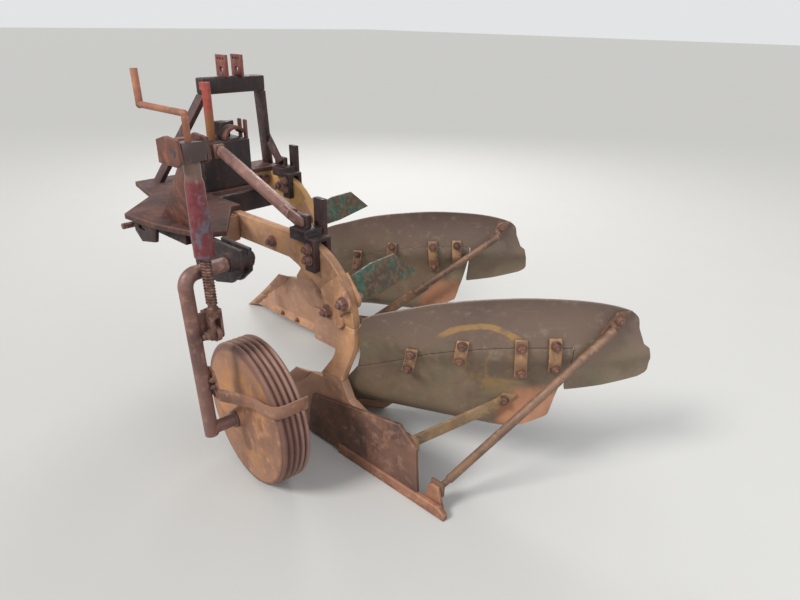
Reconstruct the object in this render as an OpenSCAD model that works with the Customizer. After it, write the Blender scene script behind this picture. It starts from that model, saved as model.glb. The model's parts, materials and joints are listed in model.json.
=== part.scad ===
// Two-furrow mounted moldboard plough, right-turning, with a cranked depth wheel.
// Frame of the drawing: +X is the direction of travel, +Y the unploughed (land) side, +Z up.
// Inside the drawing the rear body's landside heel is the zero point, and the whole
// plough is moved at the end so that the middle of its footprint is the origin.

/* [Furrow bodies] */
// Distance between the two bodies along the direction of travel
body_pitch = 670; // [640:5:720]
// Furrow width, the sideways distance between the two bodies
furrow_w = 440; // [420:5:460]
// Distance from the landside heel forward to the share point
body_len = 895; // [880:5:920]
// Height of the seam between share and moldboard
share_h = 92; // [84:1:98]
// Length of the share's cutting edge
share_edge = 485; // [460:5:500]
// Horizontal thickness of the share
share_t = 14; // [10:1:16]
// Horizontal thickness of the moldboard plates
board_t = 8; // [6:1:9]
// Angle between the share's edge and the direction of travel
share_angle = 36; // [34:0.5:39]
// Width of the straps that bridge the seam
strap_w = 34; // [28:1:40]

/* [Landside and frog] */
// Thickness of the landside plates
landside_t = 12; // [8:1:14]
// Height of the rear landside plate at its back
landside_h = 236; // [215:1:245]
// Height of the landside rail
rail_h = 36; // [28:1:40]
// Thickness of the landside rail
rail_t = 18; // [14:1:24]
// Thickness of frog, legs and beams
beam_t = 28; // [24:1:30]

/* [Beams] */
// Depth of the beams
beam_h = 82; // [72:1:90]
// Height of the beams' top face above the ground
beam_top = 690; // [680:1:700]
// Radius of the beam's bend on its outer edge
bend_r = 228; // [220:2:236]

/* [Headstock] */
// Distance from the rear body's heel forward to the cross tube
cross_x = 1400; // [1390:5:1420]
// Side of the square cross tube
cross_side = 80; // [60:2:84]
// Wall of the cross tube
cross_wall = 10; // [6:1:12]
// Distance over the shoulders of the lower link pins
link_span = 683; // [670:1:700]
// Diameter of the lower link pins
link_pin_d = 22; // [22:0.1:28]
// Length of each lower link pin
link_pin_len = 62; // [50:1:80]
// Diameter of the top link pin's bore
top_link_d = 19.3; // [19:0.1:25.7]
// Gap between the two top link plates
top_link_gap = 52; // [46:1:56]
// Distance between the feet of the mast legs
mast_foot_span = 490; // [470:5:500]
// Length of the mast's top bar
mast_top_span = 256; // [240:2:270]
// Height of the mast's top bar
mast_bar_z = 1046; // [1030:2:1060]

/* [Depth wheel] */
// Diameter of the depth wheel over its ribs
wheel_d = 440; // [420:2:460]
// Width of the depth wheel
wheel_w = 88; // [80:2:100]
// Diameter of the bar that the wheel arm is bent from
arm_d = 38; // [34:1:40]
// Diameter of the journals in the arm's bush and in the wheel
axle_d = 30; // [26:1:32]
// Outer diameter of the screw tube's lower end
tube_d = 52; // [46:1:54]
// Outer diameter of the lifting screw
screw_d = 30; // [26:1:30]

/* [Hidden] */
$fn = 48;
run_fit = 0.05;          // radial clearance of a running fit
seat = 0.3;              // gap between bolted pieces with curved faces
shift_x = -637.22;       // from the heel to the middle of the footprint
shift_y = 304.32;

rust = "#6b4436";
dark = "#2c221f";
ochre = "#a9672c";
red_paint = "#9c3328";
green_paint = "#3f6a58";
steel = "#8c8581";

// The furrow bodies: [forward, sideways, end of the beam's nose]
BODIES = [[0, 0, 1440], [body_pitch, -furrow_w, 1500 - body_pitch]];
module each_body() { for (p = BODIES) translate([p[0], p[1], 0]) children(); }
module place() { translate([shift_x, shift_y, 0]) children(); }

// Curves through the points of a table with two columns
function mix(a, b, k) = a + (b - a) * k;
function step_up(a, b, x) = let (k = min(1, max(0, (x - a) / (b - a)))) k * k * (3 - 2 * k);
function last(T) = len(T) - 1;
function span_at(T, x) = max([for (i = [0:last(T) - 1]) x >= T[i][0] ? i : 0]);
function held(T, x) = min(max(x, T[0][0]), T[last(T)][0]);
function line_at(T, x) = let (h = held(T, x), i = span_at(T, h))
    mix(T[i][1], T[i + 1][1], (h - T[i][0]) / (T[i + 1][0] - T[i][0]));
function slope(T, i) = let (a = max(0, i - 1), b = min(last(T), i + 1))
    (T[b][1] - T[a][1]) / (T[b][0] - T[a][0]);
function curve_at(T, x) = let (h = held(T, x), i = span_at(T, h), w = T[i + 1][0] - T[i][0],
        k = (h - T[i][0]) / w, m0 = slope(T, i) * w, m1 = slope(T, i + 1) * w)
    (2 * k * k * k - 3 * k * k + 1) * T[i][1] + (k * k * k - 2 * k * k + k) * m0
        + (3 * k * k - 2 * k * k * k) * T[i + 1][1] + (k * k * k - k * k) * m1;

// Moldboard surface
// One curved surface carries share, shin, moldboard plates and straps. At the height z it
// is a level arc that leaves the shin under an angle to the travel and turns further across.
shin_lean = 1.222;
shin_bend = 0.00045;
function shin_x(z) = body_len - shin_lean * z + shin_bend * z * z;
waist_dive = 18;         // the angle is smaller at half height and grows again to the crown
function run_angle(z) = share_angle - 3 - waist_dive * (step_up(60, 220, z) - step_up(420, 620, z));
function run_curl(z) = 0.008 + 0.036 * step_up(120, 420, z) - 0.022 * step_up(450, 620, z);
function surf(z, t, off) = let (a = run_angle(z), c = a + run_curl(z) * t,
        r = run_curl(z) * PI / 180)
    [shin_x(z) - (sin(c) - sin(a)) / r - off * sin(c),
     -(cos(a) - cos(c)) / r + off * cos(c), z];
function taper(z, t, thick) = min(thick, 1 + t * tan(run_angle(z)));

// A plate on the surface: f(u, v) gives height, run and thickness, off_a the inner offset
module plate_on(nu, nv, off_a, f) {
    m = nv + 1;
    n = (nu + 1) * m;
    grid = [for (i = [0:nu]) for (j = [0:nv]) f(i / nu, j / nv)];
    pts = concat([for (p = grid) surf(p[0], p[1], off_a)],
        [for (p = grid) surf(p[0], p[1], off_a + p[2])]);
    quads = concat(
        [for (i = [0:nu - 1]) for (j = [0:nv - 1])
            [i * m + j, (i + 1) * m + j, (i + 1) * m + j + 1, i * m + j + 1]],
        [for (i = [0:nu - 1]) for (j = [0:nv - 1])
            [n + i * m + j, n + i * m + j + 1, n + (i + 1) * m + j + 1, n + (i + 1) * m + j]],
        [for (i = [0:nu - 1]) [i * m, n + i * m, n + (i + 1) * m, (i + 1) * m]],
        [for (i = [0:nu - 1]) [i * m + nv, (i + 1) * m + nv, n + (i + 1) * m + nv, n + i * m + nv]],
        [for (j = [0:nv - 1]) [j, j + 1, n + j + 1, n + j]],
        [for (j = [0:nv - 1]) [nu * m + j, n + nu * m + j, n + nu * m + j + 1, nu * m + j + 1]]);
    tris = [for (q = quads) for (k = [[q[0], q[1], q[2]], [q[0], q[2], q[3]]]) k];
    polyhedron(pts, tris);
}

// Share: a strip between the ground and the moldboard seam, thin at its cutting edge
share_slant = 34;
function share_pt(u, v) = let (z = share_h * v, t = mix(1, share_edge - share_slant * v, u))
    [z, t, min(taper(z, t, share_t), 4 + z / 2)];
module share() plate_on(14, 5, 0, function (u, v) share_pt(u, v));

// Shin: the renewable strip up the front of the moldboard
shin_top = 236;
shin_low_w = 82;
shin_top_w = 58;
gap = 0.8;               // open seam between neighbouring plates
function shin_end(z) = mix(shin_low_w, shin_top_w, (z - share_h) / (shin_top - share_h));
function shin_pt(u, v) = let (z = mix(share_h + gap, shin_top, v), t = mix(1, shin_end(z), u))
    [z, t, taper(z, t, board_t)];
module shin() plate_on(4, 8, 0, function (u, v) shin_pt(u, v));

// Outline of the two moldboard plates as height over run
SEAM = [[120, 300], [170, 322], [240, 372], [300, 420], [380, 450], [500, 468], [665, 470]];
LOWER_END = [[665, 470], [675, 452], [760, 300], [789, 256]];
LOWER_FOOT = [[0, share_h + gap], [452, share_h + gap], [560, 128], [640, 170], [690, 181],
    [740, 203], [770, 228], [789, 250]];
TOP_EDGE = [[55, 505], [70, 521], [112, 542], [222, 582], [393, 606], [517, 606], [635, 594],
    [740, 570], [785, 548], [815, 515]];
WING_END = [[815, 515], [867, 471], [895, 458], [932, 421], [955, 394], [968, 377]];
WING_FOOT = [[667, 471], [765, 325], [860, 338], [955, 358], [968, 368]];
// The plates' front edges: share of the plate's height over run. Low down they follow the
// shin, then they step back beside the leg and come forward again to the crown.
LOWER_LEAD = [[0, 84], [0.45, 68], [0.62, 178], [1, 165]];
UPPER_LEAD = [[0, 166], [0.25, 139], [0.5, 105], [0.75, 70], [1, 55]];
function lower_hi(t) = t < 665 ? curve_at(SEAM, t) : line_at(LOWER_END, t);
function lower_lo(t) = line_at(LOWER_FOOT, t);
function upper_lo(t) = t < 667 ? curve_at(SEAM, t) + gap : line_at(WING_FOOT, t);
function upper_hi(t) = t < 815 ? curve_at(TOP_EDGE, t) : line_at(WING_END, t);
lower_len = 789;
board_len = 968;
function lower_pt(u, v) = let (t = mix(line_at(LOWER_LEAD, v), lower_len, u))
    [mix(lower_lo(t), lower_hi(t), v), t, board_t];
module lower_board() plate_on(28, 14, 0, function (u, v) lower_pt(u, v));
function upper_pt(u, v) = let (t = mix(line_at(UPPER_LEAD, v), board_len, u))
    [mix(upper_lo(t), upper_hi(t), v), t, board_t];
module upper_board() plate_on(34, 10, 0, function (u, v) upper_pt(u, v));

// Straps bridge the seam on the back: [run and height of the top, run and height of the foot,
// what lifts the strap off the plates' hollow]
STRAPS = [[252, 438, 304, 346, 0.3], [357, 482, 405, 408, 0.3], [500, 496, 604, 368, 1],
    [588, 500, 676, 392, 1.1]];
strap_t = 10;
module strap(s) plate_on(2, 6, board_t + seat + s[4], function (u, v)
    [mix(s[3], s[1], v), mix(s[2], s[0], v) + strap_w * (u - 0.5), strap_t]);

module shares() { color(rust) each_body() share(); }
module shins() { color(rust) each_body() shin(); }
module lower_boards() { color(rust) each_body() lower_board(); }
module upper_boards() { color(rust) each_body() upper_board(); }
module board_straps() { color(rust) each_body() for (s = STRAPS) strap(s); }

// Plates standing along the travel: a side view extruded sideways from y0 to y1
module upright(y0, y1) {
    translate([0, y1, 0]) rotate([90, 0, 0]) linear_extrude(y1 - y0) children();
}
module rod_between(a, b, r) {
    v = b - a;
    l = norm(v);
    translate(a) rotate([0, acos(v[2] / l), atan2(v[1], v[0])]) cylinder(h = l, r = r);
}
// A flat bar between two points, width w lying in the side view's plane, thickness sideways
module flat_between(a, b, w, t) {
    v = b - a;
    l = norm(v);
    translate(a) rotate([0, acos(v[2] / l), atan2(v[1], v[0])])
        translate([-w / 2, -t / 2, 0]) cube([w, t, l]);
}

// Frog: the casting that joins leg, landside, share and moldboard
beam_y = -landside_t - beam_t;
frog_top = 262;
frog_gap = 6;
function plate_t(z) = z < share_h + gap ? share_t : board_t;
function behind(z, deep) = shin_x(z) - deep / tan(run_angle(z)) - plate_t(z) / sin(run_angle(z)) - frog_gap;
module frog() {
    upright(beam_y, -landside_t) polygon(concat(
        [for (z = [20:20:80]) [behind(z, -beam_y), z]],
        [for (z = [100:20:220]) [behind(z, -beam_y), z]],
        [[behind(220, -beam_y), 240], [514, 243], [520, frog_top], [426, frog_top],
         [396, 205], [300, 168], [205, 150], [190, 24]]));
}
module frogs() { color(dark) each_body() frog(); }

// Leg: a bar bowed to the back, [height, back edge, front edge]
LEG = [[frog_top, 428, 518], [300, 414, 490], [340, 396, 462], [395, 374, 446], [430, 370, 442],
    [462, 372, 446]];
leg_top = 462;
LEG_BACK = [for (p = LEG) [p[0], p[1]]];
LEG_FRONT = [for (p = LEG) [p[0], p[2]]];
leg_n = 12;
module leg_view() {
    polygon(concat(
        [for (i = [0:leg_n]) let (z = mix(frog_top, leg_top, i / leg_n)) [curve_at(LEG_BACK, z), z]],
        [for (i = [leg_n:-1:0]) let (z = mix(frog_top, leg_top, i / leg_n)) [curve_at(LEG_FRONT, z), z]]));
}
module legs() { color(ochre) each_body() upright(beam_y, beam_y + beam_t) leg_view(); }

// Beam: a straight bar whose rear end bends down to the leg's head
bend_x = 600;
bend_z = beam_top - bend_r;
bend_in = 118;
bend_n = 14;
module beam_view(nose) {
    polygon(concat(
        [[nose, beam_top - beam_h], [nose, beam_top]],
        [for (i = [0:bend_n]) let (a = 90 + 90 * i / bend_n)
            [bend_x + bend_r * cos(a), bend_z + bend_r * sin(a)]],
        [for (i = [bend_n:-1:1]) let (a = 90 + 90 * i / bend_n)
            [bend_x + bend_in * cos(a), bend_z + bend_in * sin(a)]],
        [[bend_x + 10, bend_z + bend_in + 14], [bend_x + 50, beam_top - beam_h]]));
}
module beams() {
    color(ochre) for (p = BODIES) translate([p[0], p[1], 0])
        upright(beam_y, beam_y + beam_t) beam_view(p[2]);
}

// Cheek plates with a wavy foot hold leg and beam together by two bolts
cheek_t = 9;
CHEEK_BOLTS = [[470, 492], [402, 538]];
cheek_r = 27;
module cheek_view() {
    for (b = CHEEK_BOLTS) translate(b) circle(cheek_r);
    polygon([[378, 552], [386, 516], [410, 503], [430, 478], [448, 474], [492, 508], [497, 560], [430, 612]]);
    translate([428, 470]) circle(20);
}
module leg_cheeks() {
    color(ochre) each_body() {
        upright(beam_y + beam_t, beam_y + beam_t + cheek_t) cheek_view();
        upright(beam_y - cheek_t, beam_y) cheek_view();
    }
}

// Landsides
heel_x = 105;
rail_len = 430;
module landside_rear() {
    color(dark) upright(-landside_t, 0) polygon([[585, 8], [572, 110], [556, 165], [180, landside_h],
        [heel_x + 10, landside_h - 52], [heel_x, rail_h], [rail_len, rail_h], [rail_len, 8]]);
}
module landside_front() {
    color(dark) translate([body_pitch, -furrow_w, 0]) upright(-landside_t, 0)
        polygon([[400, 0], [400, 150], [225, 160], [205, 0]]);
}
module landside_rail() {
    color(rust) upright(-landside_t, rail_t - landside_t)
        polygon([[0, 0], [rail_len, 0], [rail_len, rail_h], [24, rail_h], [0, rail_h - 16]]);
}
lug_t = 12;
module heel_lug() {
    color(rust) upright(-landside_t - lug_t, -landside_t)
        polygon([[18, 6], [92, 6], [76, 78], [62, 88], [40, 84]]);
}

// Stay tubes run to the wing, the rear one from the heel and the front one from the frog
stay_d = 25;
tab_t = 8;
STAY_TOP = [546, 727];   // height and run of the upper bolt
STAY_TAB = [62, 42];     // height and run covered by the flattened end
heel_low = [50, -landside_t - lug_t - 8, 66];
heel_lift = 40;          // from the plate's face to the rear tube's upper end
frog_low = [125, -79, 154];
frog_lift = 68;
frog_lap = [232, beam_y - 7.5, 140];
function stay_high(lift) = surf(STAY_TOP[0] - 14, STAY_TOP[1] - 12, lift);
module stay_tab() plate_on(2, 2, board_t + seat, function (u, v)
    [STAY_TOP[0] + STAY_TAB[0] * (v - 0.62), STAY_TOP[1] + STAY_TAB[1] * (u - 0.5), tab_t]);
module stay(low, lift, k) {
    rod_between(mix(low, stay_high(lift), k), stay_high(lift), stay_d / 2);
    rod_between(surf(STAY_TOP[0] - 10, STAY_TOP[1] - 9, board_t + seat + 3), stay_high(lift), 9);
    stay_tab();
}
module stay_tubes() {
    color(rust) {
        union() {
            stay(heel_low, heel_lift, 0.06);
            translate([30, -landside_t - lug_t - 8, 50]) cube([44, 8, 44]);
            rod_between(heel_low, mix(heel_low, stay_high(heel_lift), 0.1), 9);
        }
        translate([body_pitch, -furrow_w, 0]) union() {
            stay(frog_low, frog_lift, 0.36);
            flat_between(frog_low, mix(frog_low, stay_high(frog_lift), 0.44), 34, 12);
            flat_between(frog_lap, frog_low - [6, 0, 0], 34, 12);
            translate([206, beam_y - 12, 116]) cube([48, 12, 42]);
        }
    }
}
// Flat brace from the landside to the lower plate
module flat_brace() {
    color(ochre) union() {
        translate([118, -landside_t - 9, 168]) cube([70, 9, 40]);
        flat_between([140, -landside_t - 8, 190], surf(285, 631, board_t + 16), 34, 9);
        plate_on(2, 2, board_t + seat, function (u, v) [270 + 36 * v, 614 + 36 * u, 10]);
    }
}

// Cross tube and lower link pins
mast_y = -furrow_w / 2 + beam_y + beam_t / 2;
cross_top = beam_top - beam_h;
cross_z = cross_top - cross_side / 2;
module cross_tube() {
    color(dark) translate([cross_x - cross_side / 2, mast_y - link_span / 2, cross_top - cross_side])
        difference() {
            cube([cross_side, link_span, cross_side]);
            translate([cross_wall, 20, cross_wall])
                cube([cross_side - 2 * cross_wall, link_span - 40, cross_side - 2 * cross_wall]);
        }
}
module link_pins() {
    color(steel) for (s = [-1, 1]) translate([cross_x, mast_y + s * link_span / 2, cross_z])
        rotate([-90 * s, 0, 0]) cylinder(h = link_pin_len, d = link_pin_d);
}

// Base plate and the ribs that hang under it
base_t = 18;
base_top = beam_top + base_t;
module base_plate() {
    color(rust) translate([0, 0, beam_top]) linear_extrude(base_t)
        polygon([[1450, 62], [1240, 108], [1093, 271], [940, 256], [770, 206], [736, 138],
            [935, -8], [935, beam_y - 4], [1122, beam_y - 4], [1122, column_y - 8],
            [1322, column_y - 8], [1322, mast_y - mast_foot_span / 2 - 16],
            [1450, mast_y - mast_foot_span / 2 - 16]]);
}
module base_ribs() {
    color(dark) {
        upright(236, 248) difference() {
            polygon([[1088, beam_top], [945, beam_top], [962, 640], [1050, 622], [1086, 650]]);
            translate([1020, 662]) square([40, 14]);
        }
        translate([850, 178, 650]) cube([245, 30, beam_top - 650]);
    }
}

// Mast
mast_bar_h = 54;
mast_top_x = 1235;
mast_leg_w = 46;
mast_leg_t = 20;
foot_x = 1392;
bar_low = mast_bar_z - mast_bar_h / 2;
module mast_leg(s) {
    foot = [foot_x, mast_y + s * mast_foot_span / 2, base_top];
    head = [mast_top_x, mast_y + s * (mast_top_span - mast_leg_t) / 2, bar_low];
    hull() {
        translate(foot + [-mast_leg_w / 2, -mast_leg_t / 2, 0]) cube([mast_leg_w, mast_leg_t, 0.5]);
        translate(head + [-mast_leg_w / 2, -mast_leg_t / 2, -0.5]) cube([mast_leg_w, mast_leg_t, 0.5]);
    }
}
module mast_legs() { color(rust) for (s = [-1, 1]) mast_leg(s); }
module mast_top_bar() {
    color(dark) translate([mast_top_x - mast_leg_w / 2, mast_y - mast_top_span / 2, bar_low])
        cube([mast_leg_w, mast_top_span, mast_bar_h]);
}
top_plate_t = 10;
top_plate_w = 62;
top_plate_h = 72;
top_link_z = mast_bar_z + mast_bar_h / 2 + 24;
module top_link_plates() {
    color(red_paint) for (s = [0, 1])
        translate([0, mast_y - top_link_gap / 2 - top_plate_t + s * (top_link_gap + top_plate_t), 0])
        upright(0, top_plate_t) difference() {
            translate([mast_top_x - top_plate_w / 2, mast_bar_z + mast_bar_h / 2])
                square([top_plate_w, top_plate_h]);
            translate([mast_top_x, top_link_z]) circle(d = top_link_d);
            for (k = [-1:1]) translate([mast_top_x + k * 17, top_link_z + 35]) circle(d = 9);
        }
}
column_x = 1130;
column_w = 190;
column_h = 164;
column_y = -232;
module mast_column() {
    color(dark) translate([column_x, column_y, base_top]) difference() {
        cube([150, column_w, column_h]);
        translate([14, 14, -1]) cube([140, column_w - 28, column_h - 11]);
        translate([150, -1, 60]) rotate([0, -18, 0]) cube([140, column_w + 2, column_h]);
    }
}
strut_y = -116;
strut_x = 1190;
column_top = base_top + column_h;
module mast_strut() {
    color(red_paint) {
        translate([strut_x, strut_y, column_top]) cylinder(h = bar_low - column_top + 44, d = 30);
        translate([strut_x, strut_y - 12, bar_low + 18]) cube([mast_top_x - mast_leg_w / 2 - strut_x, 24, 26]);
    }
}
clevis_y = -furrow_w + beam_y + beam_t / 2;
module mast_brace() {
    color(rust) difference() {
        flat_between([1250, clevis_y + 17, 736], [1350, clevis_y + 17, 862], 30, 14);
        mast_leg(-1);
    }
}
module sector() {
    color(rust) translate([1148, -190, column_top]) rotate([90, 0, 90])
        rotate_extrude(angle = 150) translate([34, 0]) square([12, 44]);
}
module sector_cap() {
    color(dark) translate([1206, -206, column_top]) union() {
        cube([50, 40, 52]);
        translate([20, -30, 34]) cube([14, 30, 18]);
    }
}
module sector_links() {
    color(red_paint) for (s = [0, 1]) translate([1150 + 34 * s, column_y - 10, 842]) cube([16, 10, 92]);
}
stay2_d = 38;
module diagonal_stay() {
    top = [1118, -100, 850];
    low = [592, -11, 738];
    color(rust) union() {
        rod_between(mix(low, top, 0.07), mix(low, top, 0.97), stay2_d / 2);
        upright(-16, -6) polygon([[574, 722], [606, 722], [662, 742], [652, 772], [574, 746]]);
        translate([1116, -118, 822]) cube([14, 36, 46]);
        flat_between(mix(low, top, 0.92), top, 30, 14);
    }
}

// Collar block at the rear beam's fixing and clamps for the skimmers
module beam_collar() {
    color(ochre) difference() {
        union() {
            translate([930, 4, beam_top - beam_h - 6]) cylinder(h = beam_h + 2, d = 62);
            translate([905, -landside_t, beam_top - beam_h - 6]) cube([50, 20, beam_h + 2]);
        }
        translate([800, -60, 0]) cube([300, 60 - landside_t, 1000]);
    }
}
clamp_x = 505;
clamp_w = 105;
module beam_clamp() {
    difference() {
        translate([clamp_x, beam_y - 16, beam_top - beam_h - 6]) cube([clamp_w, beam_t + 40, 118]);
        translate([clamp_x - 1, beam_y, 0]) cube([clamp_w + 2, beam_t, beam_top]);
        translate([clamp_x + 42, -landside_t, 0]) cube([clamp_w, 60, beam_top - 6]);
        translate([clamp_x - 1, beam_y - 60, beam_top + 12]) cube([36, 120, 80]);
    }
    translate([clamp_x + 60, beam_y + 4, beam_top + 30]) cube([60, 20, 34]);
}
module beam_clamps() { color(dark) each_body() beam_clamp(); }
// Skimmers: a stem at the clamp's right side and a small curved blade
stem_y = beam_y - 16;
stem_low = [500, -150, 520];
module skimmer_stems() {
    color(dark) each_body() difference() {
        union() {
            translate([538, stem_y - 16, 640]) cube([40, 16, 160]);
            flat_between([558, stem_y - 8, 650], [506, stem_y - 52, 520], 38, 16);
        }
        translate([clamp_x - 10, stem_y, 500]) cube([clamp_w + 20, 60, 400]);
        skimmer_blade();
    }
}
blade_t = 7;
BLADE = [[504, -112, 545], [498, -114, 455], [522, -235, 560], [492, -245, 462],
    [524, -347, 562], [496, -425, 488]];
module skimmer_blade() {
    for (k = [0:1]) hull() for (i = [2 * k:2 * k + 3]) for (d = [0, blade_t])
        translate(BLADE[i] + [d, 0, 0]) cube(0.5);
}
module skimmer_blades() { color(green_paint) each_body() skimmer_blade(); }

// Depth wheel arm, screw and brackets
pivot = [595, 360, 672];
axle = [561, 360, wheel_d / 2];
screw_y = 316;
pin_eye = [548, screw_y, 512];
trunnion = [566, screw_y, 982];
ear_gap = 31;
ear_t = 10;
module screw_bracket() {
    color(rust) union() {
        hull() {
            translate([790, 190, base_top]) cube([200, 12, 0.5]);
            translate([600, screw_y - ear_gap - ear_t, 930]) cube([44, ear_t, 50]);
        }
        upright(screw_y - ear_gap - ear_t, screw_y - ear_gap) difference() {
            polygon([[540, 962], [560, 950], [644, 930], [644, 985], [600, 1016], [548, 1012]]);
            translate([trunnion[0], trunnion[2]]) circle(r = 11 + run_fit);
        }
        upright(screw_y + ear_gap, screw_y + ear_gap + ear_t) difference() {
            polygon([[540, 962], [560, 950], [640, 950], [640, 1004], [600, 1016], [548, 1012]]);
            translate([trunnion[0], trunnion[2]]) circle(r = 11 + run_fit);
        }
        translate([612, screw_y - ear_gap - 1, 950]) cube([28, 2 * ear_gap + 2, 52]);
    }
}
bush_y0 = 164;
bush_y1 = 236;
module arm_bracket() {
    color(dark) difference() {
        union() {
            for (y = [bush_y0 + 6, bush_y0 + 34]) upright(y, y + 12)
                polygon([[820, beam_top], [800, 600], [700, 580], [620, 600], [572, 640], [570, 706],
                    [736, 706], [742, beam_top]]);
            translate([pivot[0], bush_y1, pivot[2]]) rotate([90, 0, 0]) cylinder(h = bush_y1 - bush_y0, d = 54);
            translate([660, bush_y0 + 6, 600]) cube([14, 40, 80]);
        }
        translate([pivot[0], bush_y1 + 1, pivot[2]]) rotate([90, 0, 0])
            cylinder(h = bush_y1 - bush_y0 + 2, r = axle_d / 2 + run_fit);
        translate([700, 100, beam_top]) cube([200, 140, 60]);
    }
}

// Along the screw: local -Z points from the trunnion to the pin eye
screw_len = norm(pin_eye - trunnion);
screw_tilt = atan2(trunnion[0] - pin_eye[0], trunnion[2] - pin_eye[2]);
module along_screw() { translate(trunnion) rotate([0, screw_tilt, 0]) children(); }
tube_len = 264;
neck_d = 40;
module screw_tube() {
    color(red_paint) along_screw() difference() {
        union() {
            rotate_extrude() polygon([[0, -12], [neck_d / 2, -12], [neck_d / 2, -62], [23, -74],
                [tube_d / 2, -200], [tube_d / 2, -tube_len + 8], [tube_d / 2 - 6, -tube_len], [0, -tube_len]]);
            translate([-24, -ear_gap + 1, -22]) cube([48, 2 * ear_gap - 2, 44]);
            rotate([90, 0, 0]) cylinder(h = 2 * (ear_gap + ear_t), r = 11, center = true);
        }
        translate([0, 0, -tube_len - 1]) cylinder(h = tube_len - 60, r = screw_d / 2 + 1);
    }
}
crank_d = 16;
crank_reach = 210;
crank_rise = 62;
crank_grip = 84;
module crank() {
    color(ochre) along_screw() {
        translate([0, 0, 22]) cylinder(h = crank_rise, d = crank_d);
        translate([0, 0, 22 + crank_rise]) sphere(d = crank_d + 1);
        translate([0, 0, 22 + crank_rise]) rotate([0, 88, 0]) cylinder(h = crank_reach, d = crank_d);
        translate([crank_reach, 0, 22 + crank_rise + 7]) sphere(d = crank_d + 3);
        translate([crank_reach, 0, 22 + crank_rise + 7]) cylinder(h = crank_grip, d = crank_d + 2);
    }
}
fork_gap = 8;
cheek_side = 7;
module screw_rod() {
    color(steel) along_screw() {
        translate([0, 0, -screw_len + 66]) cylinder(h = screw_len - 66 - 112, r = screw_d / 2);
        difference() {
            translate([-17, -fork_gap - cheek_side, -screw_len]) cube([34, 2 * (fork_gap + cheek_side), 70]);
            translate([-20, -fork_gap, -screw_len - 20]) cube([40, 2 * fork_gap, 66]);
        }
        for (s = [-1, 1]) translate([0, s * (fork_gap + cheek_side / 2), -screw_len]) rotate([90, 0, 0])
            cylinder(h = cheek_side, r = 17, center = true);
        translate([0, 0, -screw_len]) rotate([90, 0, 0])
            cylinder(h = 2 * (fork_gap + cheek_side) + 8, r = 8, center = true);
    }
}

// Wheel arm: journal in the bush, bend, long bar and the axle welded into its foot. The axle and what
// turns on it point slightly outward; local -Y runs from the arm's corner along the axle.
toe = -6.6;
module on_axle() { translate(axle) rotate([0, 0, toe]) children(); }
bend_arm = 34;
arm_foot = 17;           // the bar reaches this far below the axle's centre
arm_tilt = atan2(pivot[0] - axle[0], pivot[2] - axle[2]);
arm_len = norm(pivot - axle);
ear_half = 6;
wheel_near = 100;        // from the arm's corner to the wheel's near rim
hub_near = 76;           // from the arm's corner to the hub's end
axle_end = wheel_near + wheel_w + 20;
module wheel_arm() {
    color(rust) difference() {
        union() {
            translate([pivot[0], pivot[1] - bend_arm + 2, pivot[2]]) rotate([90, 0, 0])
                cylinder(h = pivot[1] - bend_arm - bush_y1, d = arm_d);
            translate([pivot[0], bush_y1 + 3, pivot[2]]) rotate([90, 0, 0])
                cylinder(h = bush_y1 - bush_y0 + 13, r = axle_d / 2);
            translate(pivot) rotate([0, arm_tilt, 0]) {
                translate([0, -bend_arm, -bend_arm]) rotate([0, 0, 90]) rotate([90, 0, 0])
                    rotate_extrude(angle = 90) translate([bend_arm, 0]) circle(d = arm_d + 0.8);
                translate([0, 0, -arm_len - arm_foot]) cylinder(h = arm_len + arm_foot - bend_arm + 2, d = arm_d);
            }
            on_axle() rotate([90, 0, 0]) {
                cylinder(h = hub_near - 8, d = arm_d - 2);
                translate([0, 0, hub_near - 9]) cylinder(h = 8, d = 50);
                translate([0, 0, 30]) cylinder(h = axle_end - 30, r = axle_d / 2);
                translate([0, 0, axle_end - 14]) cylinder(h = 14, d = 46);
            }
            upright(screw_y - ear_half, screw_y + ear_half) union() {
                translate([pin_eye[0], pin_eye[2]]) circle(r = 22);
                polygon([[pin_eye[0] - 14, pin_eye[2] - 17], [600, 478], [606, 560], [pin_eye[0], pin_eye[2] + 22]]);
            }
            upright(screw_y - ear_half, pivot[1]) polygon([[578, 484], [596, 482], [602, 556], [580, 548]]);
        }
        translate([pin_eye[0], screw_y, pin_eye[2]]) rotate([90, 0, 0]) cylinder(h = 40, r = 13, center = true);
    }
}
// Scraper: one flat bar, clamped to the arm and bent round the wheel's tread
strap_z = 100;           // height of its lower edge above the axle
strap_h = 36;
strap_bar = 6;
BOW = [[36, -24], [-30, -24], [-112, -74], [-170, -82], [-192, -90], [-204, -104], [-208, -122],
    [-208, -190]];
function unit(v) = v / norm(v);
function bow_dir(i) = unit(BOW[min(last(BOW), i + 1)] - BOW[max(0, i - 1)]);
function bow_side(i, d) = let (w = bow_dir(i)) [BOW[i][0] - w[1] * d, BOW[i][1] + w[0] * d];
module scraper() {
    color(rust) difference() {
        on_axle() union() {
            translate([0, 0, strap_z]) linear_extrude(strap_h) polygon(concat(
                [for (i = [0:last(BOW)]) bow_side(i, strap_bar / 2)],
                [for (i = [last(BOW):-1:0]) bow_side(i, -strap_bar / 2)]));
            upright(-27, -21) polygon([[36, strap_z + 2], [36, 178], [14, 186], [-8, 178], [-30, strap_z + strap_h],
                [-30, strap_z]]);
            upright(-24, 0) polygon([[6, 112], [40, 112], [40, 178], [10, 178]]);
        }
        rod_between(mix(pivot, axle, 2), pivot, arm_d / 2);
    }
}

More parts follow.
